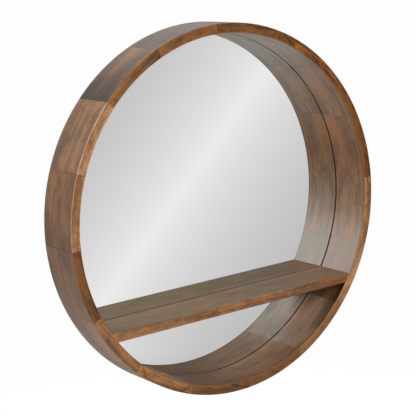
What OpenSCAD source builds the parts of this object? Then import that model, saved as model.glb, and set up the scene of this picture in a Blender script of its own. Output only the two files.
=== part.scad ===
// Round wall mirror at the back of a deep wooden frame, with a shelf across its lower part.
// The mirror faces -Y and +Z is up. The origin is the middle of the box around the whole mirror.

/* [Frame] */
// Outside diameter of the frame
frame_dia = 762; // [640:1:900]
// Depth of the frame, from its front face to its back face
frame_d = 102; // [90:1:130]
// Thickness of the frame's wall
wall_t = 20; // [18:0.5:30]
// Number of staves around the frame
stave_count = 16; // [12:1:20]
// Angle of the first joint between staves, anticlockwise from the right
first_joint_a = 2.25; // [0:0.25:18]
// Width of the glue line between two staves
glue_line = 0.1; // [0.05:0.05:0.3]
// Rounding of the frame's outer front edge
outer_edge_r = 2; // [0.5:0.5:4]
// Rounding of the frame's inner front edge
inner_edge_r = 1; // [0.5:0.5:3]
// Rounding of the frame's outer back edge
back_edge_r = 1; // [0.5:0.5:2]

/* [Mirror and back] */
// Thickness of the mirror's glass
glass_t = 3; // [3:0.5:6]
// Thickness of the backing board
board_t = 4; // [3:0.5:6]
// Width of the frame's lip in front of the glass
lip_w = 5; // [5:0.5:7]
// Width of the frame's rim around the backing board
rim_w = 5; // [4:0.5:6]
// Clearance around the glass
glass_gap = 0.5; // [0.2:0.1:1.5]
// Clearance around the backing board
board_gap = 0.4; // [0.2:0.1:1]
// Thickness of the foam tape between the lip and the glass
tape_t = 2.25; // [1:0.25:2.5]
// Width of the foam tape
tape_w = 3; // [2:0.5:3]
// Distance from the frame's inner wall back to the tape
tape_setback = 1; // [0.5:0.25:1.25]

/* [Shelf] */
// Height of the frame's centre above the shelf's top
shelf_drop = 191; // [120:1:240]
// Thickness of the shelf
shelf_t = 19; // [15:1:25]
// Distance from the frame's front face back to the shelf's front edge
shelf_setback = 0.5; // [0.5:0.5:6]
// Gap between the shelf's back edge and the glass
shelf_back_gap = 0.5; // [0.2:0.1:2]
// Glue line at each end of the shelf
shelf_end_gap = 0.1; // [0.05:0.05:0.3]
// Rounding of the shelf's two front edges
shelf_edge_r = 1.5; // [0.5:0.5:4]

/* [Dowels] */
// Diameter of the dowels between staves
stave_dowel_dia = 6; // [5:1:8]
// Length of the dowels between staves
stave_dowel_l = 30; // [24:2:40]
// Distance of those dowels from the frame's front and back faces
stave_dowel_inset = 32; // [30:1:36]
// Diameter of the dowels at the shelf's ends
shelf_dowel_dia = 8; // [6:1:10]
// Length of the dowels at the shelf's ends
shelf_dowel_l = 30; // [24:2:40]
// Depth that a shelf dowel reaches into the frame's wall
shelf_dowel_bite = 13; // [10:0.5:14]
// Distance of those dowels from the shelf's front and back edges
shelf_dowel_inset = 14; // [12:1:16]
// Clearance around a dowel in its hole
dowel_gap = 0.05; // [0.02:0.01:0.1]
// Clearance beyond each end of a dowel
dowel_end_gap = 0.5; // [0.3:0.1:1.5]

/* [Backing board screws] */
// Number of screws around the backing board
board_screw_count = 12; // [8:2:16]
// Diameter of those screws
board_screw_dia = 3; // [2.5:0.5:3.5]
// Length of those screws
board_screw_l = 14; // [12:1:16]
// Diameter of their countersunk heads
board_screw_head_dia = 6; // [5.5:0.5:7]
// Clearance around a screw in its hole
screw_gap = 0.05; // [0.02:0.01:0.1]

/* [Hangers] */
// Angle of each hanger above the horizontal
hanger_a = 30; // [24:1:36]
// Width of a hanger's strap
strap_w = 11; // [9:0.5:11.5]
// Thickness of a hanger's strap
strap_t = 1; // [0.8:0.1:1.4]
// Distance from a hanger's hinge to its first screw
strap_screw_l = 18; // [17.5:0.5:24]
// Distance between a hanger's two screws
strap_screw_pitch = 10; // [8:0.5:14]
// Diameter of a hanger's screws
hanger_screw_dia = 3.5; // [3:0.5:4]
// Length of a hanger's screws below their heads
hanger_screw_l = 20; // [16:1:24]
// Diameter of the round heads of a hanger's screws
hanger_screw_head_dia = 6; // [5.5:0.5:7]
// Height of those heads
hanger_screw_head_h = 1.8; // [1.4:0.1:2.4]
// Diameter of the D-ring's wire
ring_wire_dia = 2.4; // [2:0.1:2.8]
// Width of the D-ring between the middles of its two sides
ring_w = 17; // [17:0.5:20]
// Straight length of each side of the D-ring
ring_side_l = 1.5; // [0.5:0.5:2]
// Bend at each end of the D-ring's straight bar
ring_bend_r = 2.5; // [2:0.25:2.5]
// Clearance around the D-ring's bar in the strap's rolled end
ring_gap = 0.1; // [0.05:0.01:0.1]

/* [Bumpers] */
// Angle of each rubber bumper below the horizontal
bumper_a = 60; // [55:1:65]
// Diameter of a bumper
bumper_dia = 12; // [9:0.5:14]
// Distance from the edge of the backing board to a bumper
bumper_inset = 4; // [3:0.5:8]
// Rounding of a bumper's rim
bumper_edge_r = 1.5; // [0.5:0.25:2]
// Gap that the bumpers leave between the hangers and the wall
wall_gap = 0.35; // [0.3:0.05:2]

/* [Hidden] */
// Overrun of every cut past the face that it goes through
overrun = 1;
// Lift of a strap's rolled end, so that it meets the flat of the strap in a clean line
loop_lift = 0.05;
// Facets of a full turn on the large and on the small curves
large_steps = 240;
small_steps = 40;
sides = [-1, 1];

stave_a = 360 / stave_count;
outer_r = frame_dia / 2;
inner_r = outer_r - wall_t;
wall_mid_r = (inner_r + outer_r) / 2;
glue_a = 2 * asin(glue_line / 2 / outer_r);
glass_rebate_r = inner_r + lip_w;
board_rebate_r = outer_r - rim_w;
glass_r = glass_rebate_r - glass_gap;
board_r = board_rebate_r - board_gap;
tape_inner_r = inner_r + tape_setback;

// Heights are measured forward from the frame's back face
glass_front_h = board_t + glass_t;
lip_back_h = glass_front_h + tape_t;
shelf_back_h = glass_front_h + shelf_back_gap;
shelf_front_h = frame_d - shelf_setback;
stave_dowel_hs = [stave_dowel_inset, frame_d - stave_dowel_inset];
shelf_dowel_hs = [shelf_back_h + shelf_dowel_inset, shelf_front_h - shelf_dowel_inset];

shelf_mid_z = -(shelf_drop + shelf_t / 2);
shelf_end_x = sqrt(inner_r * inner_r - shelf_mid_z * shelf_mid_z);
shelf_reach_x = shelf_end_x + shelf_dowel_bite - shelf_dowel_l / 2;

// Screws run along the middle of the ledge between the two rebates
screw_circle_r = (glass_rebate_r + board_rebate_r) / 2;
board_screw_step_a = 360 / board_screw_count;
board_screw_as = [for (i = [0:board_screw_count - 1]) (i + 0.5) * board_screw_step_a];
board_screw_head_h = (board_screw_head_dia - board_screw_dia) / 2;
hanger_screw_ls = [strap_screw_l, strap_screw_l + strap_screw_pitch];

ring_wire_r = ring_wire_dia / 2;
ring_bar_l = ring_w - 2 * ring_bend_r;
ring_bore_r = ring_wire_r + ring_gap;
loop_r = ring_bore_r + strap_t;
hinge_h = loop_r + loop_lift;

bumper_t = hinge_h + loop_r + wall_gap;
bumper_circle_r = board_r - bumper_inset - bumper_dia / 2;
back_y = (frame_d - bumper_t) / 2;

// Shares of a screw's head that its cross recess takes, and of its diameter that its point takes
recess_l_share = 0.6;
recess_w_share = 0.17;
recess_h_share = 0.6;
point_l_share = 1;
point_r_share = 0.1;
head_edge_share = 0.7;

tone_light = "#a87748";
tone_mid = "#8d5f3b";
tone_dark = "#6f482c";
tone_shelf = "#86603f";
tone_dowel = "#d0ae7c";
tone_board = "#a98a63";
tone_glass = "#d5d9db";
tone_tape = "#2d2724";
tone_steel = "#b3b6b9";
tone_rubber = "#26262a";

// Tone of each stave, anticlockwise from the first joint
stave_tones = [
    tone_dark, tone_mid, tone_mid, tone_mid, tone_mid, tone_dark, tone_mid, tone_light,
    tone_mid, tone_light, tone_light, tone_dark, tone_dark, tone_light, tone_light, tone_light
];

function stave_name(i) = str("stave_", i < 9 ? "0" : "", i + 1);

// Angle of the shelf's end on a side, seen from the frame's centre
function shelf_end_a(side) = atan2(shelf_mid_z, side * shelf_end_x);

// Angle of the hanger on a side
function hanger_side_a(side) = side > 0 ? hanger_a : 180 - hanger_a;

// Whether an angle lies in the stave around mid_a or in one of its neighbours
function near(a, mid_a) = cos(a - mid_a) > cos(stave_a);

// Places children on the frame's back face, where x is right, y is up and z runs forward
module on_back_face() {
    translate([0, back_y, 0]) rotate([90, 0, 0]) children();
}

// Places children at a radius and an angle, with x pointing away from the centre
module around(a, r) {
    rotate([0, 0, a]) translate([r, 0, 0]) children();
}

// Places children at the hinge of the hanger on a side, with y up along the frame
module at_hanger(side) {
    mirror([side < 0 ? 1 : 0, 0, 0]) around(hanger_a, screw_circle_r) children();
}

// What a round-over of radius r takes off the corner at the origin
module corner_cut(r) {
    difference() {
        translate([-r, -r]) square(r + overrun);
        translate([-r, -r]) circle(r, $fn = small_steps);
    }
}

// Section of the frame's wall, with its back face at y = 0
module frame_section() {
    difference() {
        translate([inner_r, 0]) square([wall_t, frame_d]);
        translate([inner_r - overrun, -overrun]) square([lip_w + overrun, lip_back_h + overrun]);
        translate([inner_r, -overrun]) square([wall_t - rim_w, board_t + overrun]);
        translate([outer_r, frame_d]) corner_cut(outer_edge_r);
        translate([inner_r, frame_d]) mirror([1, 0]) corner_cut(inner_edge_r);
        translate([outer_r, 0]) mirror([0, 1]) corner_cut(back_edge_r);
    }
}

// The dowels across the stave joint at an angle, with clearances when they cut their holes
module joint_dowels(a, gap, end_gap) {
    for (h = stave_dowel_hs)
        around(a, wall_mid_r)
            translate([0, 0, h])
                rotate([90, 0, 0])
                    cylinder(d = stave_dowel_dia + 2 * gap, h = stave_dowel_l + 2 * end_gap,
                             center = true, $fn = small_steps);
}

// The dowels at the shelf's end on a side, with clearances when they cut their holes
module end_dowels(side, gap, end_gap) {
    for (h = shelf_dowel_hs)
        translate([side * shelf_reach_x, shelf_mid_z, h])
            rotate([0, 90, 0])
                cylinder(d = shelf_dowel_dia + 2 * gap, h = shelf_dowel_l + 2 * end_gap,
                         center = true, $fn = small_steps);
}

// A straight hole for a screw, forward from z = 0
module screw_hole(dia, l) {
    translate([0, 0, -overrun])
        cylinder(d = dia + 2 * screw_gap, h = l + screw_gap + overrun, $fn = small_steps);
}

// The countersink that a board screw's head sits in
module countersink() {
    rise = overrun + screw_gap;
    translate([0, 0, -overrun])
        cylinder(d1 = board_screw_head_dia + 2 * rise, d2 = board_screw_dia + 2 * screw_gap,
                 h = board_screw_head_h + overrun, $fn = small_steps);
}

// The cross recess in a screw's head, sunk from z = 0
module cross_recess(head_dia, head_h) {
    slot = [head_dia * recess_l_share, head_dia * recess_w_share, head_h * recess_h_share * 2];
    for (turn = [0, 90]) rotate([0, 0, turn]) cube(slot, center = true);
}

// A screw's shank with its point, forward from z = 0
module shank(dia, l) {
    point_l = dia * point_l_share;
    cylinder(d = dia, h = l - point_l, $fn = small_steps);
    translate([0, 0, l - point_l])
        cylinder(d1 = dia, d2 = dia * point_r_share, h = point_l, $fn = small_steps);
}

// A countersunk screw whose head is flush with z = 0
module countersunk_screw() {
    difference() {
        union() {
            cylinder(d1 = board_screw_head_dia, d2 = board_screw_dia, h = board_screw_head_h,
                     $fn = small_steps);
            translate([0, 0, board_screw_head_h])
                shank(board_screw_dia, board_screw_l - board_screw_head_h);
        }
        cross_recess(board_screw_head_dia, board_screw_head_h);
    }
}

// A round-headed screw whose head stands behind z = 0
module pan_screw() {
    head_r = hanger_screw_head_dia / 2;
    difference() {
        union() {
            rotate_extrude($fn = small_steps)
                difference() {
                    translate([0, -hanger_screw_head_h]) square([head_r, hanger_screw_head_h]);
                    translate([head_r, -hanger_screw_head_h])
                        mirror([0, 1]) corner_cut(hanger_screw_head_h * head_edge_share);
                }
            shank(hanger_screw_dia, hanger_screw_l);
        }
        translate([0, 0, -hanger_screw_head_h])
            cross_recess(hanger_screw_head_dia, hanger_screw_head_h);
    }
}

// One stave of the frame, with its rebates and the holes that fall in it
module stave(i) {
    start_a = first_joint_a + i * stave_a;
    mid_a = start_a + stave_a / 2;
    color(stave_tones[i % len(stave_tones)])
    on_back_face()
    difference() {
        rotate([0, 0, start_a + glue_a / 2])
            rotate_extrude(angle = stave_a - glue_a, $fn = large_steps) frame_section();
        for (end_a = [start_a, start_a + stave_a]) joint_dowels(end_a, dowel_gap, dowel_end_gap);
        for (a = board_screw_as)
            if (near(a, mid_a)) around(a, screw_circle_r) screw_hole(board_screw_dia, board_screw_l);
        for (side = sides) {
            if (near(hanger_side_a(side), mid_a)) hanger_screw_holes(side);
            if (near(shelf_end_a(side), mid_a)) end_dowels(side, dowel_gap, dowel_end_gap);
        }
    }
}

// The holes for a hanger's screws, in the frame, the backing board and the strap
module hanger_screw_holes(side) {
    for (l = hanger_screw_ls)
        at_hanger(side)
            translate([0, -l, -strap_t]) screw_hole(hanger_screw_dia, hanger_screw_l);
}

// The dowels in all the joints between staves
module stave_dowels() {
    color(tone_dowel)
    on_back_face()
    for (i = [0:stave_count - 1]) joint_dowels(first_joint_a + i * stave_a, 0, 0);
}

// The shelf, whose ends follow the frame's inner wall
module shelf_board() {
    color(tone_shelf)
    on_back_face()
    difference() {
        intersection() {
            rotate([90, 0, 90]) linear_extrude(frame_dia, center = true) shelf_section();
            cylinder(r = inner_r - shelf_end_gap, h = frame_d, $fn = large_steps);
        }
        for (side = sides) end_dowels(side, dowel_gap, dowel_end_gap);
    }
}

// Section of the shelf across its length: x is up and y runs forward
module shelf_section() {
    difference() {
        translate([-shelf_drop - shelf_t, shelf_back_h])
            square([shelf_t, shelf_front_h - shelf_back_h]);
        translate([-shelf_drop, shelf_front_h]) corner_cut(shelf_edge_r);
        translate([-shelf_drop - shelf_t, shelf_front_h]) mirror([1, 0]) corner_cut(shelf_edge_r);
    }
}

// The dowels that hold the shelf's ends
module shelf_dowels() {
    color(tone_dowel)
    on_back_face()
    for (side = sides) end_dowels(side, 0, 0);
}

// The foam tape that the glass beds on, behind the frame's lip
module glazing_tape() {
    color(tone_tape)
    on_back_face()
    translate([0, 0, glass_front_h])
        difference() {
            cylinder(r = tape_inner_r + tape_w, h = tape_t, $fn = large_steps);
            translate([0, 0, -overrun])
                cylinder(r = tape_inner_r, h = tape_t + 2 * overrun, $fn = large_steps);
        }
}

// The round pane of mirror glass
module mirror_pane() {
    color(tone_glass)
    on_back_face()
    translate([0, 0, board_t]) cylinder(r = glass_r, h = glass_t, $fn = large_steps);
}

// The backing board, flush with the frame's back
module backing_board() {
    color(tone_board)
    on_back_face()
    difference() {
        cylinder(r = board_r, h = board_t, $fn = large_steps);
        for (a = board_screw_as)
            around(a, screw_circle_r) {
                countersink();
                screw_hole(board_screw_dia, board_screw_l);
            }
        for (side = sides) hanger_screw_holes(side);
    }
}

// The screws around the backing board
module board_screws() {
    color(tone_steel)
    on_back_face()
    for (a = board_screw_as) around(a, screw_circle_r) countersunk_screw();
}

// A hanger's strap, rolled at its upper end around the D-ring's bar
module hanger_strap(side) {
    last_l = strap_screw_l + strap_screw_pitch;
    color(tone_steel)
    on_back_face()
    difference() {
        at_hanger(side) {
            translate([-strap_w / 2, -last_l, -strap_t]) cube([strap_w, last_l, strap_t]);
            translate([0, -last_l, -strap_t]) cylinder(d = strap_w, h = strap_t, $fn = small_steps);
            translate([0, 0, -hinge_h])
                rotate([0, 90, 0])
                    cylinder(r = loop_r, h = strap_w, center = true, $fn = small_steps);
        }
        at_hanger(side)
            translate([0, 0, -hinge_h])
                rotate([0, 90, 0])
                    cylinder(r = ring_bore_r, h = strap_w + 2 * overrun, center = true,
                             $fn = small_steps);
        hanger_screw_holes(side);
    }
}

// The screws of both hangers
module hanger_screws() {
    color(tone_steel)
    on_back_face()
    for (side = sides)
        for (l = hanger_screw_ls) at_hanger(side) translate([0, -l, -strap_t]) pan_screw();
}

// The D-ring of a hanger, hanging down along its strap
module d_ring(side) {
    color(tone_steel)
    on_back_face()
    at_hanger(side)
    translate([0, 0, -hinge_h]) {
        rotate([0, 90, 0])
            cylinder(r = ring_wire_r, h = ring_bar_l, center = true, $fn = small_steps);
        for (flip = [0, 1]) mirror([flip, 0, 0]) {
            translate([ring_bar_l / 2, -ring_bend_r, 0])
                rotate_extrude(angle = 90, $fn = small_steps)
                    translate([ring_bend_r, 0]) circle(ring_wire_r, $fn = small_steps);
            translate([ring_w / 2, -ring_bend_r, 0])
                rotate([90, 0, 0])
                    cylinder(r = ring_wire_r, h = ring_side_l, $fn = small_steps);
        }
        translate([0, -ring_bend_r - ring_side_l, 0])
            rotate([0, 0, 180])
                rotate_extrude(angle = 180, $fn = small_steps)
                    translate([ring_w / 2, 0]) circle(ring_wire_r, $fn = small_steps);
    }
}

// A rubber bumper on the backing board, which rests on the wall
module wall_bumper(side) {
    bumper_r = bumper_dia / 2;
    color(tone_rubber)
    on_back_face()
    around(side > 0 ? -bumper_a : bumper_a - 180, bumper_circle_r)
        rotate_extrude($fn = small_steps)
            difference() {
                translate([0, -bumper_t]) square([bumper_r, bumper_t]);
                translate([bumper_r, -bumper_t]) mirror([0, 1]) corner_cut(bumper_edge_r);
            }
}

for (i = [0:stave_count - 1])
    stave(i);
stave_dowels();
shelf_board();
shelf_dowels();
glazing_tape();
mirror_pane();
backing_board();
board_screws();
hanger_strap(-1);  // hanger_strap_left
hanger_strap(1);  // hanger_strap_right
hanger_screws();
d_ring(-1);  // d_ring_left
d_ring(1);  // d_ring_right
wall_bumper(-1);  // wall_bumper_left
wall_bumper(1);  // wall_bumper_right
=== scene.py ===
# Looks, studio and camera for the round mirror with a shelf.
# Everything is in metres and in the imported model's frame: the mirror faces -Y and +Z is up.
import math

import bpy
from mathutils import Matrix, Vector


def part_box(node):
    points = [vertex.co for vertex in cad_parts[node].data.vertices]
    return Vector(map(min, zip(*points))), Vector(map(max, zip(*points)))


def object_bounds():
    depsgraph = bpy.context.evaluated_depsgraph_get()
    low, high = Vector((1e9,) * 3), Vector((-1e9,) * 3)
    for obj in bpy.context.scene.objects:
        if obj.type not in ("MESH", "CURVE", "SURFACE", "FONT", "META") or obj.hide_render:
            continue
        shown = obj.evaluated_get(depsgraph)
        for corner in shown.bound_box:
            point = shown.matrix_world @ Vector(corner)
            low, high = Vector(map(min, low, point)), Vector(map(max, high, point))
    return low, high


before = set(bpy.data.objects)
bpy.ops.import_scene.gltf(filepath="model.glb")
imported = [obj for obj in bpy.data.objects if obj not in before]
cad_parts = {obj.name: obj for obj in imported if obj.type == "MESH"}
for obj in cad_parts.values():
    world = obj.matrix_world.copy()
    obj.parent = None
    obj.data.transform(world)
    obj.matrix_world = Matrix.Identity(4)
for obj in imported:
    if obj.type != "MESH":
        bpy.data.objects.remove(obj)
cad_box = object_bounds()

# Sizes read from the frame
FRONT_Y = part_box("stave_01")[0].y
OUTER_R = -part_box("stave_08")[0].x
STAVES = sorted(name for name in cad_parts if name.startswith("stave_") and name[-1].isdigit())
STAVE_ANGLE = 360 / len(STAVES)
SHELF_BACK_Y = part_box("shelf_board")[1].y
SHELF_UNDER_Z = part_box("shelf_board")[0].z

# Half the thickness of the frame's wall, and the radii of the wall's middle and inside
HALF_WALL = 0.010
WALL_MIDDLE_R = OUTER_R - HALF_WALL
INNER_R = WALL_MIDDLE_R - HALF_WALL
MM_PER_METRE = 1000

# Where the first joint between staves lies, in degrees from +X towards +Z
FIRST_JOINT = 2.25

# Camera, at the photograph's viewing angle, in degrees, metres and millimetres of lens
CAMERA_AZIMUTH = -35.415
CAMERA_ELEVATION = 11.765
CAMERA_ROLL = -3.428
CAMERA_DISTANCE = 2.7455
CAMERA_LENS = 115.80
CAMERA_SENSOR = 36
AIM = Vector((-0.0265, FRONT_Y + 0.051, 0.0051))

# Studio: the white behind the object, and the plain fill light from above and below a range of heights
WHITE = (1, 1, 1, 1)
BACKGROUND_WHITE = 0.985
FILL_ABOVE = 0.08
FILL_BELOW = 0.42
FILL_HEIGHTS = (-0.5, 0.5)

# The bands that the mirror shows: their tint, their dimmest level and its rise at a ridge, how a ridge fades,
# where one lies along the axis, and the spacing to the next
SKY_TINT = (1.062, 0.958, 0.985, 1)
SKY_DIM = 0.443
SKY_RISE = 0.609
SKY_FADE = 0.094
SKY_RIDGE = -0.0237
SKY_SPACING = 0.16
SKY_AXIS = (0.566, 0.558, -0.608)

# The mirror shows the bands to rays of fewer bounces than this
MIRROR_BOUNCES = 2.5

# What the lacquer gathers from in front and behind, at both ends of a range of heights, and where along y one
# turns into the other
STUDIO_FRONT = 1.5
STUDIO_FRONT_LOW = 2.1
FRONT_HEIGHTS = (-0.6, -0.35)
STUDIO_BACK = 0.70
STUDIO_BACK_TOP = 1.25
BACK_HEIGHTS = (0.1, 0.5)
FRONT_TO_BACK = (-0.3, 0.3)

# Places that differ in what the lacquer gathers: the brightness there, the direction, and the angles from
# that direction at which the place begins to fade and has faded
STUDIO_PATCHES = [(0.80, (0.41, -0.79, 0.45), 8, 25), (0.45, (-0.49, -0.79, -0.37), 6, 18),
                  (2.0, (-0.52, -0.79, 0.32), 8, 22), (0.75, (0.05, -0.79, 0.60), 8, 26),
                  (0.12, (0.579, -0.815, 0.0), 7, 34), (0.15, (0.50, 0.79, -0.35), 14, 36),
                  (0.70, (-0.17, 0.80, 0.58), 5, 16)]

# Lamps: the name, the place, the watts, the size, and whether glossy surfaces show it
LAMPS = [
    ("key", (-1.44, -2.40, 1.08), 94, 2.0, True),
    ("upper", (-0.10, -2.40, 1.85), 20, 1.4, True),
    ("behind", (0.90, 2.60, -0.40), 50, 1.6, False),
]

# Floor: how far it lies below the frame, its radius, the width of its faded rim and its number of sides, its
# grey and roughness, its glow for the camera, and its glow for glossy surfaces across a stretch of x
FLOOR_DROP = 0.45
FLOOR_RADIUS = 1.6
FLOOR_RIM = 0.8
FLOOR_SIDES = 96
FLOOR_GREY = (0.4, 0.4, 0.4, 1)
FLOOR_ROUGHNESS = 0.9
FLOOR_GLOW = 0.82
FLOOR_GLOSS_GLOW = 0.75
FLOOR_GLOSS_X = (-0.3, 0.2)


def linear(red, green, blue):
    """A colour written as 0 to 255 sRGB values, as the linear RGBA that a shader takes."""
    parts = [value / 255 for value in (red, green, blue)]
    return (*[p / 12.92 if p <= 0.04045 else ((p + 0.055) / 1.055) ** 2.4 for p in parts], 1)


# Node helpers
def feed(tree, socket, value):
    """Links a socket to another node's output, or writes a plain value on it."""
    if isinstance(value, bpy.types.NodeSocket):
        tree.links.new(value, socket)
    else:
        socket.default_value = value


def add(tree, kind, inputs=None, **settings):
    """Adds a node of that kind, with its settings and its inputs by name or number."""
    made = tree.nodes.new(kind)
    for name, value in settings.items():
        setattr(made, name, value)
    for key, value in (inputs or {}).items():
        feed(tree, made.inputs[key], value)
    return made


def calc(tree, operation, *values):
    """One Math node's result."""
    return add(tree, "ShaderNodeMath", dict(enumerate(values)), operation=operation).outputs[0]


def remap(tree, value, low, high, to_low, to_high, smooth=False):
    """A value moved from one range to another, and kept inside it."""
    inputs = {"Value": value, "From Min": low, "From Max": high, "To Min": to_low, "To Max": to_high}
    kind = "SMOOTHSTEP" if smooth else "LINEAR"
    return add(tree, "ShaderNodeMapRange", inputs, interpolation_type=kind).outputs["Result"]


def blend_colour(tree, factor, first, second):
    """Two colours mixed by a factor."""
    made = add(tree, "ShaderNodeMix", data_type="RGBA")
    feed(tree, made.inputs[0], factor)
    feed(tree, made.inputs[6], first)
    feed(tree, made.inputs[7], second)
    return made.outputs[2]


def noise(tree, place, stretch, detail=3.0, roughness=0.55, distortion=0.0):
    """Noise between 0 and 1, whose grains per metre along x, y and z are given by stretch."""
    spread = vector_calc(tree, "MULTIPLY", place, stretch)
    inputs = {"Vector": spread, "Scale": 1.0, "Detail": detail, "Roughness": roughness,
              "Distortion": distortion}
    return add(tree, "ShaderNodeTexNoise", inputs).outputs[0]


def vector_calc(tree, operation, *values):
    """One Vector Math node's result."""
    return add(tree, "ShaderNodeVectorMath", dict(enumerate(values)), operation=operation).outputs[0]


def vector_number(tree, operation, *values):
    """One Vector Math node's result where that is a number: a length, a distance or a dot product."""
    return add(tree, "ShaderNodeVectorMath", dict(enumerate(values)), operation=operation).outputs["Value"]


def scaled(tree, vector, factor):
    """A vector or a colour times a factor."""
    return add(tree, "ShaderNodeVectorMath", {0: vector, "Scale": factor}, operation="SCALE").outputs[0]


def split(tree, vector):
    """A vector's three parts."""
    return add(tree, "ShaderNodeSeparateXYZ", {0: vector}).outputs


def object_place(tree):
    """The point on the object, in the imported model's frame."""
    return add(tree, "ShaderNodeTexCoord").outputs["Object"]


def new_material(name):
    """An empty node material, with its shader and its tree."""
    material = bpy.data.materials.new(name)
    material.use_nodes = True
    tree = material.node_tree
    tree.nodes.clear()
    shader = add(tree, "ShaderNodeBsdfPrincipled")
    add(tree, "ShaderNodeOutputMaterial", {"Surface": shader.outputs[0]})
    return material, tree, shader


def group_sockets(tree, direction, kinds):
    """Adds a node group's inputs or outputs, from a list of names for each kind of socket."""
    for kind, names in kinds.items():
        for name in names:
            tree.interface.new_socket(name=name, in_out=direction, socket_type="NodeSocket" + kind)


def bumpy(tree, shader, height, strength, distance):
    """Gives a shader the relief of a height."""
    bump = {"Height": height, "Strength": strength, "Distance": distance}
    feed(tree, shader.inputs["Normal"], add(tree, "ShaderNodeBump", bump).outputs[0])


# Noise lies around its middle, mostly inside a span
NOISE_MIDDLE = 0.5
NOISE_SPAN = (0.3, 0.7)

# How strong each material's relief is and how deep it is in metres
BUMPS = {
    "wood": (0.35, 0.00012),
    "board": (0.25, 0.0002),
    "foam": (0.4, 0.0002),
    "steel": (0.15, 0.00005),
    "rubber": (0.3, 0.0001),
}

# The roughness that each plain material has at both ends of its noise
ROUGHNESS = {
    "dowel": (0.55, 0.7),
    "board": (0.62, 0.78),
    "foam": (0.9, 0.75),
    "steel": (0.26, 0.42),
    "rubber": (0.62, 0.82),
}

# Stained wood: growth rings, dark streaks, fibres, pores and blotches in one plank
RING_PITCH = 0.0062
RING_WANDER = 0.009
LATE_WOOD_FROM = 0.35
LATE_WOOD_TO = 0.92
HALF_STAVE = 0.075
WOOD_IOR = 1.45

# The noise of each layer: its grains per metre across and along the plank, its detail and its roughness
RING_NOISE = ((22, 22, 7), 2.0)
BAND_NOISE = ((34, 34, 2.5), 1.0, 0.5)
STREAK_NOISE = ((110, 110, 3), 1.5, 0.5)
STRAND_NOISE = ((190, 190, 3), 2.0, 0.5)
FIBRE_NOISE = ((900, 900, 22), 5.0, 0.65)
MOTTLE_NOISE = ((100, 100, 60), 5.0, 0.7)
PATCH_NOISE = ((32, 32, 18), 2.0, 0.5)
SMUDGE_NOISE = ((34, 34, 20), 5.0, 0.65)
PORE_NOISE = ((1500, 1500, 55), 2.0)

# The levels of a noise between which a streak, a smudge or a pore comes in
STREAK_LEVELS = (0.54, 0.72)
SMUDGE_LEVELS = (0.55, 0.72)
PORE_LEVELS = (0.62, 0.72)

# How much each layer counts: one value, or one for the walls and one for the front face
PLAIN_TONE = 0.62
LATE_WOOD_TONE = -0.5
TONE_RANGE = (-0.3, 1.3)
BAND_WEIGHT = 2.0
FIBRE_WEIGHT = 0.9
STREAK_WEIGHTS = (-0.2, -0.45)
MOTTLE_WEIGHTS = (1.3, 2.2)
PATCH_WEIGHTS = (1.9, 1.2)
STRAND_WEIGHTS = (1.7, 1.3)
FADE_WEIGHTS = (1.0, -0.4)
SMUDGE_WEIGHT = 0.5
PORE_WEIGHT = 0.45
SMUDGE_COLOUR = linear(58, 43, 31)
PORE_COLOUR = linear(48, 30, 20)

# How much the lacquer shines on the walls and on the front face
SHINES = (0.5, 0.2)

# Which way a surface faces along y, from front face to wall
FACE_NORMALS = (-0.6, -0.4)

# Roughness of the lacquer over the fibres and in the pores, and the relief of pores, fibres and rings
WOOD_ROUGHNESS = (0.34, 0.44)
PORE_ROUGHNESS = 0.15
PORE_HEIGHT = -0.6
FIBRE_HEIGHT = 0.35
RING_HEIGHT = 0.15


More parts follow.
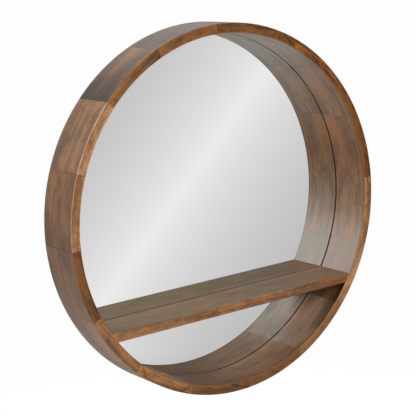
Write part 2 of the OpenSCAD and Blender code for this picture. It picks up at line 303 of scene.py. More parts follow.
def stained_wood_group():
    """The wood's figure in a plank with its grain along z, its thickness along x and its width along y."""
    tree = bpy.data.node_groups.new("stained wood", "ShaderNodeTree")
    group_sockets(tree, "INPUT", {
        "Vector": ["Plank", "Pith", "Seed"],
        "Float": ["Tilt", "Rings", "Streaks", "Fade", "Marks"],
        "Color": ["Face light", "Face dark", "Wall light", "Wall dark"],
    })
    group_sockets(tree, "OUTPUT", {"Color": ["Colour"], "Float": ["Roughness", "Shine", "Height"]})
    given = add(tree, "NodeGroupInput").outputs
    plank = given["Plank"]
    seeded = vector_calc(tree, "ADD", plank, given["Seed"])

    # Growth rings around the pith, which lies outside the plank
    apart = split(tree, vector_calc(tree, "SUBTRACT", plank, given["Pith"]))
    across = add(tree, "ShaderNodeCombineXYZ", {0: apart[0], 1: apart[1]}).outputs[0]
    radius = vector_number(tree, "LENGTH", across)
    leaning = calc(tree, "MULTIPLY_ADD", apart[2], given["Tilt"], radius)
    wander = calc(tree, "SUBTRACT", noise(tree, seeded, *RING_NOISE), NOISE_MIDDLE)
    bent = calc(tree, "MULTIPLY_ADD", wander, RING_WANDER, leaning)
    ring = calc(tree, "FRACT", calc(tree, "DIVIDE", bent, RING_PITCH))
    late_wood = remap(tree, ring, LATE_WOOD_FROM, LATE_WOOD_TO, 0.0, 1.0, smooth=True)
    late_wood = calc(tree, "MINIMUM", late_wood, remap(tree, ring, LATE_WOOD_TO, 1.0, 1.0, 0.0))
    late_wood = calc(tree, "MULTIPLY", late_wood, given["Rings"])

    # Broad bands, dark streaks and fine fibres along the grain, and a mottle that is strongest on the face
    facing = split(tree, add(tree, "ShaderNodeNewGeometry").outputs["True Normal"])[1]
    face = remap(tree, facing, *FACE_NORMALS, 1.0, 0.0)
    band = noise(tree, seeded, *BAND_NOISE)
    streak = remap(tree, noise(tree, seeded, *STREAK_NOISE), *STREAK_LEVELS, 0.0, 1.0, smooth=True)
    streak = calc(tree, "MULTIPLY", streak, given["Streaks"])
    strand = noise(tree, seeded, *STRAND_NOISE)
    fibre = noise(tree, seeded, *FIBRE_NOISE)
    mottle = noise(tree, seeded, *MOTTLE_NOISE)
    patch = noise(tree, seeded, *PATCH_NOISE)

    tone = calc(tree, "MULTIPLY_ADD", late_wood, LATE_WOOD_TONE, PLAIN_TONE)
    tone = calc(tree, "MULTIPLY_ADD", streak, remap(tree, face, 0.0, 1.0, *STREAK_WEIGHTS), tone)
    tone = calc(tree, "ADD", tone, given["Marks"])
    layers = [
        (band, BAND_WEIGHT),
        (patch, remap(tree, face, 0.0, 1.0, *PATCH_WEIGHTS)),
        (strand, remap(tree, face, 0.0, 1.0, *STRAND_WEIGHTS)),
        (mottle, remap(tree, face, 0.0, 1.0, *MOTTLE_WEIGHTS)),
        (fibre, FIBRE_WEIGHT),
    ]
    for layer, weight in layers:
        tone = calc(tree, "MULTIPLY_ADD", calc(tree, "SUBTRACT", layer, NOISE_MIDDLE), weight, tone)
    tone = remap(tree, tone, *TONE_RANGE, 0.0, 1.0, smooth=True)
    light = blend_colour(tree, face, given["Wall light"], given["Face light"])
    dark = blend_colour(tree, face, given["Wall dark"], given["Face dark"])
    colour = blend_colour(tree, tone, dark, light)

    # Dark smudges where the stain gathered
    smudge = noise(tree, seeded, *SMUDGE_NOISE)
    smudge = remap(tree, smudge, *SMUDGE_LEVELS, 0.0, SMUDGE_WEIGHT, smooth=True)
    colour = blend_colour(tree, smudge, colour, SMUDGE_COLOUR)

    # The whole colour gets lighter or darker from one end of the plank to the other
    fade = calc(tree, "MULTIPLY", given["Fade"], remap(tree, face, 0.0, 1.0, *FADE_WEIGHTS))
    along = calc(tree, "DIVIDE", split(tree, plank)[2], HALF_STAVE)
    colour = scaled(tree, colour, calc(tree, "MULTIPLY_ADD", along, fade, 1.0))

    # Pores: short dark strokes that are also tiny grooves
    pore = remap(tree, noise(tree, seeded, *PORE_NOISE), *PORE_LEVELS, 0.0, 1.0, smooth=True)
    colour = blend_colour(tree, calc(tree, "MULTIPLY", pore, PORE_WEIGHT), colour, PORE_COLOUR)

    # Lacquer over the fibres: rougher where the wood is open
    rough = remap(tree, fibre, *NOISE_SPAN, *WOOD_ROUGHNESS)
    rough = calc(tree, "MULTIPLY_ADD", pore, PORE_ROUGHNESS, rough)
    height = calc(tree, "MULTIPLY_ADD", pore, PORE_HEIGHT, calc(tree, "MULTIPLY", fibre, FIBRE_HEIGHT))
    height = calc(tree, "MULTIPLY_ADD", late_wood, RING_HEIGHT, height)
    shine = remap(tree, face, 0.0, 1.0, *SHINES)
    add(tree, "NodeGroupOutput", {"Colour": colour, "Roughness": rough, "Shine": shine, "Height": height})
    return tree


wood_group = stained_wood_group()

# Tones of the stain, as its palest and darkest colour
TONES = {
    "honey": (linear(186, 136, 94), linear(112, 78, 54)),
    "amber": (linear(168, 118, 74), linear(96, 66, 41)),
    "chestnut": (linear(142, 94, 52), linear(78, 50, 27)),
    "walnut": (linear(128, 86, 52), linear(70, 48, 31)),
    "russet": (linear(138, 84, 36), linear(72, 43, 18)),
    "olive": (linear(148, 105, 66), linear(84, 60, 38)),
    "slate": (linear(138, 101, 81), linear(80, 59, 49)),
    "cocoa": (linear(150, 104, 68), linear(92, 63, 42)),
    # Umber, greyer and paler, is used on stave 14's walls, partly as the wood's tone and partly as painted
    # sheen
    "umber": (linear(136, 104, 81), linear(88, 69, 55)),
    "taupe": (linear(132, 100, 72), linear(100, 79, 58)),
}

# Each stave's tone and shade on its front face, the same on its walls, its pith outward of the wall's middle
# and along its width, the pith's lean, how strong its rings and streaks are, and how much its walls' colour
# changes from its middle to its later end
STAVE_WOOD = [
    ("russet", 0.72, "russet", 0.84, -0.080, 0.030, 0.02, 0.3, 0.9, 0.05),
    ("russet", 0.84, "chestnut", 0.87, 0.070, -0.060, 0.05, 0.4, 1.0, 0.00),
    ("russet", 1.08, "chestnut", 0.88, -0.060, -0.020, -0.04, 0.5, 0.9, 0.10),
    ("chestnut", 0.75, "chestnut", 0.90, -0.090, 0.045, 0.02, 0.3, 0.5, 0.05),
    ("chestnut", 0.80, "slate", 0.78, 0.100, 0.010, -0.02, 0.3, 0.4, -0.05),
    ("walnut", 1.05, "olive", 0.76, -0.070, 0.025, 0.03, 0.2, 0.8, -0.75),
    ("honey", 0.78, "honey", 0.80, 0.066, 0.016, 0.050, 0.5, 0.3, 0.00),
    ("amber", 1.34, "amber", 0.84, -0.090, 0.000, -0.02, 0.3, 0.6, 0.00),
    ("chestnut", 0.66, "olive", 0.95, 0.080, -0.030, 0.03, 0.3, 1.0, 0.00),
    ("amber", 0.73, "amber", 1.02, -0.110, 0.030, -0.03, 0.3, 0.5, 0.00),
    ("amber", 0.92, "honey", 1.15, 0.060, -0.050, 0.05, 0.6, 0.7, 0.00),
    ("walnut", 0.83, "walnut", 0.90, -0.080, -0.020, 0.02, 0.3, 0.4, 0.00),
    ("walnut", 0.88, "walnut", 1.10, 0.090, 0.020, -0.02, 0.3, 0.4, 0.00),
    # Stave 14's walls are paler and greyer: partly the wood's own tone, partly painted sheen
    ("amber", 0.70, "umber", 1.12, -0.100, -0.030, 0.03, 0.3, 0.4, 0.00),
    ("honey", 0.94, "walnut", 0.72, 0.080, 0.010, 0.02, 0.3, 0.4, 0.00),
    ("amber", 1.03, "chestnut", 0.77, -0.070, 0.040, -0.03, 0.5, 0.8, 0.00),
]

# Single streaks in the figure, and one dark patch under the shelf that is painted shade: the surface, then an
# angle and millimetres from the surface's outer or front edge at both ends, the half width in millimetres,
# and how much darker, or with a minus how much lighter
STREAKS = [
    ("face", 3, 4, 12, 6, 4, 0.25), ("face", 12, 13, 20, 5, 3, 0.20), ("face", 26, 5, 46, 6, 2.5, 0.35),
    ("face", 30, 11, 46, 14, 3, 0.30), ("face", 48, 14, 52, 10, 3, 0.25), ("face", 52, 10, 57, 2, 3, 0.25),
    ("face", 62, 18, 66, 2, 4, 0.35), ("face", 48, 5, 60, 14, 9, -0.25), ("face", 71, 5, 80, 4, 2.5, 0.25),
    ("face", 228, 18, 231.5, 1, 3, 0.35), ("face", 246, 4, 248.5, 18, 3, 0.35),
    ("face", 255, 17, 262, 5, 3, 0.20), ("face", 266, 16, 272, 4, 4, 0.30),
    ("face", 352, 15, 354, 5, 4, 0.30), ("face", 356, 12, 362, 11, 3, 0.35),
    ("outer", 109, 80, 114, 75, 22, 0.45), ("outer", 106, 18, 114, 26, 12, 0.35),
    ("outer", 124, 43, 137, 43, 5, 0.40), ("outer", 131, 78, 138, 82, 26, 0.35),
    ("outer", 115, 20, 138, 20, 20, 0.35), ("outer", 145, 17, 158, 17, 17, -0.25),
    ("outer", 116, 66, 126, 62, 14, -0.35), ("outer", 115, 18, 123, 22, 16, 0.40),
    ("outer", 122, 38, 137, 39, 3, -0.50), ("outer", 139, 24, 158, 24, 8, -0.45),
    ("outer", 162, 76, 172, 80, 8, -0.30), ("outer", 163, 46, 174, 47, 3, 0.35),
    ("outer", 183, 64, 193, 66, 8, -0.30), ("outer", 191, 46, 202, 43, 8, -0.25),
    ("outer", 187, 92, 201, 97, 8, 0.30), ("outer", 186, 28, 200, 32, 3, 0.30),
    ("outer", 140.5, 70, 150.5, 68, 15, 0.35), ("outer", 142, 70, 149, 68, 9, -0.50),
    ("outer", 150, 84, 158, 84, 20, 0.50), ("outer", 160, 58, 165, 56, 10, 0.20),
    ("outer", 165, 30, 176, 31, 3, -0.30), ("outer", 174, 86, 182, 82, 20, 0.40),
    ("outer", 183, 50, 184, 50, 10, 0.25), ("outer", 205, 75, 214, 72, 26, 0.25),
    ("outer", 208, 16, 226, 18, 24, -0.30), ("outer", 228, 14, 237, 18, 26, -0.40),
    ("inner", 3, 18, 15, 17, 6, 0.45), ("inner", 3, 71, 16, 74, 4, 0.25),
    ("inner", 25, 20, 38, 13, 8, 0.40), ("inner", 25, 52, 28, 48, 7, 0.35),
    ("inner", 48, 74, 56, 70, 7, 0.60), ("inner", 47.5, 14, 55, 10, 14, 0.80),
    ("inner", 343, 22, 350, 20, 8, 0.30), ("inner", 352, 32, 359, 22, 6, 0.30),
    # The first streak here, at 308 to 318 degrees, is painted shade in the corner under the shelf
    ("inner", 308, 14, 318, 24, 26, 0.42), ("inner", 294, 66, 299, 66, 28, 0.20),
    ("inner", 307, 90, 315, 90, 14, -0.45),
]

# How strong the streaks are, and their wavering line: its bends per metre, its detail and its reach
STREAK_STRENGTH = 2.5
STREAK_BENDS = 70.0
STREAK_DETAIL = 3.0
STREAK_WAVER = 0.008

# How far apart the noise of two staves lies
SEED_STEPS = (1.7, 0.9, 2.3)

# The walls' palest and darkest colour lie nearer each other than the face's
WALL_SPREAD = 0.75

# The inner wall is paler towards the front: painted light, with the deeper part standing in shade
FRONT_PAINTED_LIGHT = 0.15
FRONT_PAINTED_LIGHT_WIDTH = 0.060

# The colour of the dark lines at the glued ends and behind the inner front edge
DARK_LINE_COLOUR = linear(45, 28, 18)

# The dark line at a glued end
JOINT_SHADE_WIDTH = 0.0012
JOINT_SHADE = 0.55

# The dark line behind the inner front edge, and where a point counts as being on the inner wall
EDGE_SHADE = 0.80
EDGE_SHADE_REACH = (0.0034, 0.0056)
INNER_WALL_REACH = (0.0003, 0.0008)

# The painted shade in the corner under the shelf, which stands in for a shadow: how far it reaches back and
# down, how strong it is, the share of that reach over which it stays as strong, and its colour
CORNER_DEPTH = 0.030
CORNER_DROP = 0.088
CORNER_SHADE = 0.97
CORNER_START_SHARE = 0.25
CORNER_SHADOW_COLOUR = linear(30, 13, 5)

# The painted highlight on the inner front edge: how strongly, how far from the edge it fades, and its colour
INNER_EDGE_HIGHLIGHT = 0.25
INNER_HIGHLIGHT_REACH = (0.0008, 0.0014)
INNER_HIGHLIGHT_COLOUR = linear(205, 140, 80)

# The painted highlight on the outer front edge: how strongly, for the few staves that have it, counted from
# 0, how far from the edge it fades, where a point counts as being on the front face, and its colour
RIM_HIGHLIGHT = {6: 0.22, 7: 0.13}
RIM_HIGHLIGHT_REACH = (0.0018, 0.0027)
FRONT_FACE_REACH = (0.0005, 0.0012)
RIM_HIGHLIGHT_COLOUR = linear(230, 198, 172)

# The shelf: its grain's angle, its pith, lean, rings, streaks and seed, its shades in front and above, its
# darker and warmer right end, and its dark back edge
SHELF_ANGLE = 90
SHELF_PITH = (-0.29, 0.06, 0)
SHELF_TILT = 0.01
SHELF_RINGS = 0.3
SHELF_STREAKS = 0.9
SHELF_SEED = (3.1, 7.7, 5.2)
SHELF_FRONT = 1.22
SHELF_TOP = 0.89
SHELF_RIGHT = 0.90
SHELF_RIGHT_X = (-0.05, 0.22)
SHELF_WARM_X = (0.17, 0.27)
SHELF_WARMTH = 0.5
SHELF_WARM_COLOUR = linear(120, 74, 38)
SHELF_EDGE_REACH = (0.0026, 0.0016)
SHELF_EDGE_COLOUR = linear(66, 44, 12)


def shaded(tone, shade, spread=1.0):
    """A tone's palest and darkest colour, made lighter or darker by shade and brought nearer by spread."""
    light, dark = TONES[tone]
    middle = [(a + b) / 2 for a, b in zip(light[:3], dark[:3])]
    return [(*[shade * (m + spread * (part - m)) for part, m in zip(colour, middle)], 1)
            for colour in (light, dark)]


def wood_material(name, angle, face, walls, pith, tilt, rings, streaks, fade, seed):
    """Stained wood whose plank lies across the frame's plane at that angle, from +X towards +Z."""
    material, tree, shader = new_material(name)
    turn = {"Vector": object_place(tree), "Rotation": (0, math.radians(angle), 0)}
    plank = add(tree, "ShaderNodeMapping", turn, vector_type="POINT").outputs[0]
    figure = add(tree, "ShaderNodeGroup", node_tree=wood_group)
    given = {"Plank": plank, "Pith": pith, "Seed": seed, "Tilt": tilt, "Rings": rings, "Streaks": streaks,
             "Fade": fade, "Marks": 0.0, "Face light": face[0], "Face dark": face[1],
             "Wall light": walls[0], "Wall dark": walls[1]}
    for key, value in given.items():
        feed(tree, figure.inputs[key], value)
    feed(tree, shader.inputs["Roughness"], figure.outputs["Roughness"])
    feed(tree, shader.inputs["Specular IOR Level"], figure.outputs["Shine"])
    bumpy(tree, shader, figure.outputs["Height"], *BUMPS["wood"])
    shader.inputs["IOR"].default_value = WOOD_IOR
    return material, tree, shader, plank, figure


def streak_end(surface, angle, across, middle):
    """A streak's end as distances outward, backward and along the stave, in metres."""
    along = WALL_MIDDLE_R * math.radians(angle - middle)
    if surface == "face":
        return Vector((HALF_WALL - across / MM_PER_METRE, FRONT_Y, along))
    outward = HALF_WALL if surface == "outer" else -HALF_WALL
    return Vector((outward, FRONT_Y + across / MM_PER_METRE, along))


def around_frame(tree, plank):
    """How far a point lies from the frame's axis and behind its front, and the point's parts."""
    parts = split(tree, plank)
    flat = add(tree, "ShaderNodeCombineXYZ", {0: parts[0], 2: parts[2]}).outputs[0]
    radius = vector_number(tree, "LENGTH", flat)
    return radius, calc(tree, "SUBTRACT", parts[1], FRONT_Y), parts


def own_streaks(tree, plank, middle):
    """The tone that the stave at that angle gains inside its front as painted light, and gains or loses by
    its streaks.
    """
    radius, from_front, parts = around_frame(tree, plank)
    outward = calc(tree, "SUBTRACT", radius, WALL_MIDDLE_R)
    along = calc(tree, "MULTIPLY", calc(tree, "ARCTAN2", parts[2], parts[0]), WALL_MIDDLE_R)
    spot = add(tree, "ShaderNodeCombineXYZ", {0: outward, 1: parts[1], 2: along}).outputs[0]
    bends = {"Vector": plank, "Scale": STREAK_BENDS, "Detail": STREAK_DETAIL}
    waver = add(tree, "ShaderNodeTexNoise", bends).outputs["Color"]
    waver = vector_calc(tree, "SUBTRACT", waver, 3 * (NOISE_MIDDLE,))
    spot = vector_calc(tree, "MULTIPLY_ADD", waver, 3 * (STREAK_WAVER,), spot)
    inside = remap(tree, radius, INNER_R, WALL_MIDDLE_R, 1.0, 0.0)
    # Painted light: the inner wall is paler near the front and darker deeper in
    total = calc(tree, "MULTIPLY", inside, remap(tree, from_front, 0.0, FRONT_PAINTED_LIGHT_WIDTH, FRONT_PAINTED_LIGHT, 0.0))
    for surface, angle, across, end_angle, end_across, width, depth in STREAKS:
        if abs((angle + end_angle) / 2 - middle) > STAVE_ANGLE / 2:
            continue
        start = streak_end(surface, angle, across, middle)
        run = streak_end(surface, end_angle, end_across, middle) - start
        gone = vector_calc(tree, "SUBTRACT", spot, start)
        share = vector_number(tree, "DOT_PRODUCT", gone, run / run.length_squared)
        share = remap(tree, share, 0.0, 1.0, 0.0, 1.0)
        apart = vector_number(tree, "DISTANCE", gone, scaled(tree, run, share))
        near = remap(tree, apart, 0.0, width / MM_PER_METRE, 1.0, 0.0, smooth=True)
        total = calc(tree, "MULTIPLY_ADD", near, -STREAK_STRENGTH * depth, total)
    return total


def painted_corner_shade(tree, from_front):
    """How strongly painted shade darkens the inner wall in the corner under the shelf, near the front."""
    under = calc(tree, "SUBTRACT", SHELF_UNDER_Z, split(tree, object_place(tree))[2])
    near_shelf = remap(tree, under, CORNER_START_SHARE * CORNER_DROP, CORNER_DROP, CORNER_SHADE, 0.0)
    below = calc(tree, "GREATER_THAN", under, 0.0)
    near_front = remap(tree, from_front, CORNER_START_SHARE * CORNER_DEPTH, CORNER_DEPTH, 1.0, 0.0)
    return calc(tree, "MULTIPLY", calc(tree, "MULTIPLY", near_shelf, below), near_front)


def joint_shade(tree, parts):
    """How dark a stave is near its two glued ends."""
    half = math.radians(STAVE_ANGLE / 2)
    from_end = calc(tree, "SUBTRACT", calc(tree, "MULTIPLY", parts[0], math.sin(half)),
                    calc(tree, "MULTIPLY", calc(tree, "ABSOLUTE", parts[2]), math.cos(half)))
    return remap(tree, from_end, 0.0, JOINT_SHADE_WIDTH, JOINT_SHADE, 0.0, smooth=True)


def painted_edge_highlights(tree, index, colour, radius, from_front, from_inner):
    """A stave's colour with a painted highlight on its inner front edge, and on a few staves on the outer one
    too.
    """
    from_edge = calc(tree, "MAXIMUM", from_front, from_inner)
    edge_highlight = remap(tree, from_edge, *INNER_HIGHLIGHT_REACH, INNER_EDGE_HIGHLIGHT, 0.0)
    colour = blend_colour(tree, edge_highlight, colour, INNER_HIGHLIGHT_COLOUR)
    if index not in RIM_HIGHLIGHT:
        return colour
    on_face = remap(tree, from_front, *FRONT_FACE_REACH, 1.0, 0.0)
    edge_highlight = remap(tree, calc(tree, "SUBTRACT", OUTER_R, radius), *RIM_HIGHLIGHT_REACH, RIM_HIGHLIGHT[index], 0.0)
    return blend_colour(tree, calc(tree, "MULTIPLY", edge_highlight, on_face), colour, RIM_HIGHLIGHT_COLOUR)


def stave_material(index):
    """One stave's wood, dark at its glued ends and behind its inner front edge, with painted shade in the
    shelf's corner and painted highlights on its front edges.
    """
    face, face_shade, walls, walls_shade, out, width, tilt, rings, streaks, fade = STAVE_WOOD[index]
    middle = FIRST_JOINT + STAVE_ANGLE * (index + 0.5)
    pith = (WALL_MIDDLE_R + out, width, 0)
    seed = [index * step for step in SEED_STEPS]
    made = wood_material(f"stained wood {index + 1:02d}", middle, shaded(face, face_shade),
                         shaded(walls, walls_shade, WALL_SPREAD), pith, tilt, rings, streaks, fade, seed)
    material, tree, shader, plank, figure = made
    feed(tree, figure.inputs["Marks"], own_streaks(tree, plank, middle))
    radius, from_front, parts = around_frame(tree, plank)
    from_inner = calc(tree, "SUBTRACT", radius, INNER_R)
    on_wall = remap(tree, from_inner, *INNER_WALL_REACH, 1.0, 0.0)
    edge_shade = remap(tree, from_front, *EDGE_SHADE_REACH, EDGE_SHADE, 0.0, smooth=True)
    shade = calc(tree, "MAXIMUM", joint_shade(tree, parts), calc(tree, "MULTIPLY", on_wall, edge_shade))
    colour = blend_colour(tree, shade, figure.outputs["Colour"], DARK_LINE_COLOUR)
    # Painted shade: the corner under the shelf is darkened in the colour, as a shadow would darken it
    corner = calc(tree, "MULTIPLY", painted_corner_shade(tree, from_front), on_wall)
    colour = blend_colour(tree, corner, colour, CORNER_SHADOW_COLOUR)
    # Painted highlights on the front edges, where the bevels would catch the light
    colour = painted_edge_highlights(tree, index, colour, radius, from_front, from_inner)
    feed(tree, shader.inputs["Base Color"], colour)
    return material


def shelf_material():
    """The shelf's wood, its grain across the frame, its right end darker and warmer, its back edge dark."""
    made = wood_material("stained wood shelf", SHELF_ANGLE, shaded("cocoa", SHELF_FRONT),
                         shaded("taupe", SHELF_TOP), SHELF_PITH, SHELF_TILT, SHELF_RINGS, SHELF_STREAKS,
                         0.0, SHELF_SEED)
    material, tree, shader, plank, figure = made
    aside = split(tree, object_place(tree))[0]
    colour = scaled(tree, figure.outputs["Colour"], remap(tree, aside, *SHELF_RIGHT_X, 1.0, SHELF_RIGHT))
    warm = remap(tree, aside, *SHELF_WARM_X, 0.0, SHELF_WARMTH, smooth=True)
    colour = blend_colour(tree, warm, colour, SHELF_WARM_COLOUR)
    # The shelf top darkens along its back edge, where it stands against the mirror
    begins, ends = [SHELF_BACK_Y - reach for reach in SHELF_EDGE_REACH]
    near_back_edge = remap(tree, split(tree, plank)[1], begins, ends, 0.0, 1.0)
    feed(tree, shader.inputs["Base Color"], blend_colour(tree, near_back_edge, colour, SHELF_EDGE_COLOUR))
    return material


# Plain materials: each noise as grains per metre, detail, roughness and distortion, then the colours
DOWEL_FIBRE = ((700, 700, 90), 4.0, 0.6)
DOWEL_COLOURS = (linear(196, 160, 112), linear(224, 194, 148))

# The board's fibres, the flecks in it and its cloudiness, and how much flecks and clouds cover
BOARD_FIBRES = ((420, 420, 420), 6.0, 0.7, 1.2)
BOARD_COLOURS = (linear(112, 80, 52), linear(158, 122, 84))
FLECKS = ((1100, 900, 1100), 3.0, 0.6, 2.0)
FLECK_LEVELS = (0.6, 0.72)
FLECK_COVER = 0.5
FLECK_COLOUR = linear(78, 54, 34)
CLOUDS = ((9, 9, 9), 3.0, 0.5)
CLOUD_COVER = 0.25
CLOUD_COLOUR = linear(104, 76, 52)

# Foam: cells per metre, the share of a cell over which its roughness changes, and its dull shine
FOAM_CELLS = 1800.0
FOAM_CELL_SHARE = 0.6
FOAM_SHINE = 0.15
FOAM_COLOURS = (linear(10, 9, 8), linear(26, 24, 22))

# What the glass and its silver give back of each colour, with a slow change
GLASS_SHEEN = ((3, 3, 3), 2.0)
GLASS_COLOURS = ((0.745, 0.82, 0.80, 1), (0.755, 0.83, 0.81, 1))

# The steel's drawing marks, how much they cover, and its change of tint
STEEL_MARKS = ((2600, 2600, 300), 4.0, 0.7)
MARK_COVER = 0.3
MARK_COLOUR = linear(130, 132, 136)
STEEL_CLOUD = ((160, 160, 160), 2.0)
STEEL_COLOURS = (linear(186, 190, 196), linear(204, 200, 186))

# The rubber's moulded grain, and its change from black to dusty
RUBBER_GRAIN = ((1400, 1400, 1400), 4.0, 0.7)
RUBBER_DUST = ((120, 120, 120), 2.0)
RUBBER_COLOURS = (linear(32, 32, 34), linear(48, 47, 47))


def dowel_material():
    """Plain pale dowel wood."""
    material, tree, shader = new_material("dowel wood")
    fibre = noise(tree, object_place(tree), *DOWEL_FIBRE)
    feed(tree, shader.inputs["Base Color"], blend_colour(tree, fibre, *DOWEL_COLOURS))
    feed(tree, shader.inputs["Roughness"], remap(tree, fibre, *NOISE_SPAN, *ROUGHNESS["dowel"]))
    return material


def fibreboard_material():
    """Hardboard: pressed fibres in a brown board, smooth and matt."""
    material, tree, shader = new_material("fibreboard")
    place = object_place(tree)
    fibres = noise(tree, place, *BOARD_FIBRES)
    flecks = remap(tree, noise(tree, place, *FLECKS), *FLECK_LEVELS, 0.0, 1.0)
    cloud = remap(tree, noise(tree, place, *CLOUDS), *NOISE_SPAN, 0.0, CLOUD_COVER)
    colour = blend_colour(tree, fibres, *BOARD_COLOURS)
    colour = blend_colour(tree, calc(tree, "MULTIPLY", flecks, FLECK_COVER), colour, FLECK_COLOUR)
    colour = blend_colour(tree, cloud, colour, CLOUD_COLOUR)
    feed(tree, shader.inputs["Base Color"], colour)
    feed(tree, shader.inputs["Roughness"], remap(tree, fibres, *NOISE_SPAN, *ROUGHNESS["board"]))
    bumpy(tree, shader, fibres, *BUMPS["board"])
    return material


def foam_material():
    """Dark closed-cell foam tape."""
    material, tree, shader = new_material("foam tape")
    place = object_place(tree)
    cells = add(tree, "ShaderNodeTexVoronoi", {"Vector": place, "Scale": FOAM_CELLS}).outputs["Distance"]
    feed(tree, shader.inputs["Base Color"], blend_colour(tree, cells, *FOAM_COLOURS))
    feed(tree, shader.inputs["Roughness"], remap(tree, cells, 0.0, FOAM_CELL_SHARE, *ROUGHNESS["foam"]))
    shader.inputs["Specular IOR Level"].default_value = FOAM_SHINE
    bumpy(tree, shader, cells, *BUMPS["foam"])
    return material


def mirror_material():
    """Silvered float glass, with the faint green of the glass in what it shows."""
    material, tree, shader = new_material("mirror glass")
    sheen = noise(tree, object_place(tree), *GLASS_SHEEN)
    feed(tree, shader.inputs["Base Color"], blend_colour(tree, sheen, *GLASS_COLOURS))
    shader.inputs["Metallic"].default_value = 1.0
    shader.inputs["Roughness"].default_value = 0.0
    return material


def steel_material():
    """Zinc-plated steel: dull bright, with fine drawing marks and a slow change of tint."""
    material, tree, shader = new_material("zinc steel")
    place = object_place(tree)
    marks = noise(tree, place, *STEEL_MARKS)
    colour = blend_colour(tree, noise(tree, place, *STEEL_CLOUD), *STEEL_COLOURS)
    colour = blend_colour(tree, calc(tree, "MULTIPLY", marks, MARK_COVER), colour, MARK_COLOUR)
    feed(tree, shader.inputs["Base Color"], colour)
    shader.inputs["Metallic"].default_value = 1.0
    feed(tree, shader.inputs["Roughness"], remap(tree, marks, *NOISE_SPAN, *ROUGHNESS["steel"]))
    bumpy(tree, shader, marks, *BUMPS["steel"])
    return material


def rubber_material():
    """Soft black rubber with a fine moulded grain."""
    material, tree, shader = new_material("bumper rubber")
    place = object_place(tree)
    grain = noise(tree, place, *RUBBER_GRAIN)
    dust = noise(tree, place, *RUBBER_DUST)
    feed(tree, shader.inputs["Base Color"], blend_colour(tree, dust, *RUBBER_COLOURS))
    feed(tree, shader.inputs["Roughness"], remap(tree, grain, *NOISE_SPAN, *ROUGHNESS["rubber"]))
    bumpy(tree, shader, grain, *BUMPS["rubber"])
    return material


def dress(material, *names):
    """Gives the CAD nodes of those names one material in every slot."""
    for name in names:
        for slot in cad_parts[name].material_slots:
            slot.material = material


for index, name in enumerate(STAVES):
    dress(stave_material(index), name)
dress(shelf_material(), "shelf_board")
dress(dowel_material(), "stave_dowels", "shelf_dowels")
dress(fibreboard_material(), "backing_board")
dress(foam_material(), "glazing_tape")
dress(mirror_material(), "mirror_pane")
dress(steel_material(), "board_screws", "hanger_screws", "hanger_strap_left", "hanger_strap_right",
      "d_ring_left", "d_ring_right")
dress(rubber_material(), "wall_bumper_left", "wall_bumper_right")


def studio_world():
    """White for the camera, soft diagonal bands for reflections, and a plain fill light for the rest."""
    world = bpy.data.worlds.new("studio")
    world.use_nodes = True
    tree = world.node_tree
    tree.nodes.clear()
    toward = add(tree, "ShaderNodeTexCoord").outputs["Generated"]
    along = vector_number(tree, "DOT_PRODUCT", toward, SKY_AXIS)
    off_ridge = calc(tree, "PINGPONG", calc(tree, "SUBTRACT", along, SKY_RIDGE), SKY_SPACING)
    fade = calc(tree, "POWER", math.e, calc(tree, "DIVIDE", off_ridge, -SKY_FADE))
    bands = calc(tree, "MULTIPLY_ADD", fade, SKY_RISE, SKY_DIM)
    seen_in_mirror = add(tree, "ShaderNodeBackground", {"Color": SKY_TINT, "Strength": bands}).outputs[0]

    # What the lacquer gathers: a white studio with brighter and darker places
    parts = split(tree, toward)
    behind = remap(tree, parts[2], *BACK_HEIGHTS, STUDIO_BACK, STUDIO_BACK_TOP)
    ahead = remap(tree, parts[2], *FRONT_HEIGHTS, STUDIO_FRONT_LOW, STUDIO_FRONT)
    walls = remap(tree, parts[1], *FRONT_TO_BACK, ahead, behind, smooth=True)
    for level, axis, *angles in STUDIO_PATCHES:
        near, far = [math.cos(math.radians(a)) for a in angles]
        along = vector_number(tree, "DOT_PRODUCT", toward, axis)
        open_part = remap(tree, along, near, far, 0.0, 1.0, smooth=True)
        walls = add(tree, "ShaderNodeMix", {0: open_part, 2: level, 3: walls}).outputs[0]
    gathered = add(tree, "ShaderNodeBackground", {"Color": WHITE, "Strength": walls}).outputs[0]

    fill_level = remap(tree, parts[2], *FILL_HEIGHTS, FILL_BELOW, FILL_ABOVE)
    fill = add(tree, "ShaderNodeBackground", {"Color": WHITE, "Strength": fill_level}).outputs[0]
    white = add(tree, "ShaderNodeBackground", {"Color": WHITE, "Strength": BACKGROUND_WHITE}).outputs[0]
    ray = add(tree, "ShaderNodeLightPath").outputs
    first_bounce = calc(tree, "LESS_THAN", ray["Ray Depth"], MIRROR_BOUNCES)
    mirrored = calc(tree, "MULTIPLY", ray["Is Singular Ray"], first_bounce)
    shiny = add(tree, "ShaderNodeMixShader", {0: mirrored, 1: gathered, 2: seen_in_mirror}).outputs[0]
    unseen = add(tree, "ShaderNodeMixShader", {0: ray["Is Glossy Ray"], 1: fill, 2: shiny}).outputs[0]
    seen = add(tree, "ShaderNodeMixShader", {0: ray["Is Camera Ray"], 1: unseen, 2: white}).outputs[0]
    add(tree, "ShaderNodeOutputWorld", {"Surface": seen})
    bpy.context.scene.world = world


def area_lamp(name, place, power, size, shows):
    """A round soft box that points at the mirror's middle, and that glossy surfaces show or not."""
    data = bpy.data.lights.new(name, "AREA")
    data.energy = power
    data.shape = "DISK"
    data.size = size
    lamp = bpy.data.objects.new(name, data)
    lamp.visible_glossy = shows
    lamp.location = place
    lamp.rotation_mode = "QUATERNION"
    lamp.rotation_quaternion = (Vector(place) * -1).to_track_quat("-Z", "Y")
    bpy.context.scene.collection.objects.link(lamp)


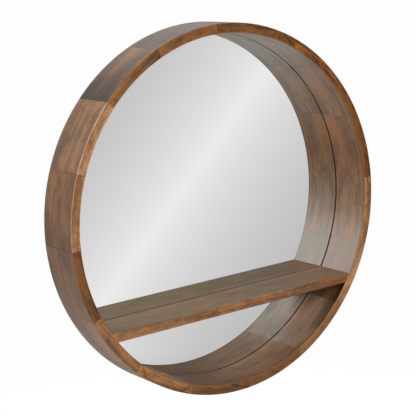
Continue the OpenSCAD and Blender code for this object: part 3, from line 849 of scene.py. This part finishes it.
def floor_stage():
    """A pale round floor below the frame, which fades out at its rim."""
    lowest = cad_box[0].z - FLOOR_DROP
    angles = [math.tau * step / FLOOR_SIDES for step in range(FLOOR_SIDES)]
    ring = [(FLOOR_RADIUS * math.cos(angle), FLOOR_RADIUS * math.sin(angle), lowest) for angle in angles]
    mesh = bpy.data.meshes.new("floor")
    mesh.from_pydata(ring, [], [list(range(FLOOR_SIDES))])
    floor = bpy.data.objects.new("floor", mesh)
    bpy.context.scene.collection.objects.link(floor)
    material, tree, shader = new_material("floor")
    shader.inputs["Base Color"].default_value = FLOOR_GREY
    shader.inputs["Roughness"].default_value = FLOOR_ROUGHNESS
    shader.inputs["Specular IOR Level"].default_value = 0.0
    place = object_place(tree)
    ray = add(tree, "ShaderNodeLightPath").outputs
    gloss_glow = remap(tree, split(tree, place)[0], *FLOOR_GLOSS_X, FLOOR_GLOSS_GLOW, 0.0)
    glow = calc(tree, "MULTIPLY", ray["Is Glossy Ray"], gloss_glow)
    glow = calc(tree, "MULTIPLY_ADD", ray["Is Camera Ray"], FLOOR_GLOW, glow)
    lift = add(tree, "ShaderNodeEmission", {"Strength": glow}).outputs[0]
    lit = add(tree, "ShaderNodeAddShader", {0: shader.outputs[0], 1: lift}).outputs[0]
    from_middle = vector_number(tree, "LENGTH", vector_calc(tree, "MULTIPLY", place, (1, 1, 0)))
    gone = remap(tree, from_middle, FLOOR_RADIUS - FLOOR_RIM, FLOOR_RADIUS, 0.0, 1.0, smooth=True)
    clear = add(tree, "ShaderNodeBsdfTransparent").outputs[0]
    faded = add(tree, "ShaderNodeMixShader", {0: gone, 1: lit, 2: clear}).outputs[0]
    feed(tree, tree.get_output_node("ALL").inputs["Surface"], faded)
    mesh.materials.append(material)


def photo_camera():
    """The camera at the photograph's viewing angle, turned a little about its own axis."""
    azimuth, elevation, roll = [math.radians(a) for a in (CAMERA_AZIMUTH, CAMERA_ELEVATION, CAMERA_ROLL)]
    back = Vector((math.sin(azimuth) * math.cos(elevation), -math.cos(azimuth) * math.cos(elevation),
                   math.sin(elevation)))
    level_right = Vector((math.cos(azimuth), math.sin(azimuth), 0))
    level_up = back.cross(level_right)
    right = level_right * math.cos(roll) + level_up * math.sin(roll)
    up = level_up * math.cos(roll) - level_right * math.sin(roll)
    data = bpy.data.cameras.new("camera")
    data.lens = CAMERA_LENS
    data.sensor_width = CAMERA_SENSOR
    camera = bpy.data.objects.new("camera", data)
    turned = Matrix((right, up, back)).transposed().to_4x4()
    camera.matrix_world = Matrix.Translation(AIM + back * CAMERA_DISTANCE) @ turned
    bpy.context.scene.collection.objects.link(camera)
    bpy.context.scene.camera = camera


photo_camera()
studio_world()
for lamp in LAMPS:
    area_lamp(*lamp)
floor_stage()
bpy.context.scene.view_settings.view_transform = "Standard"
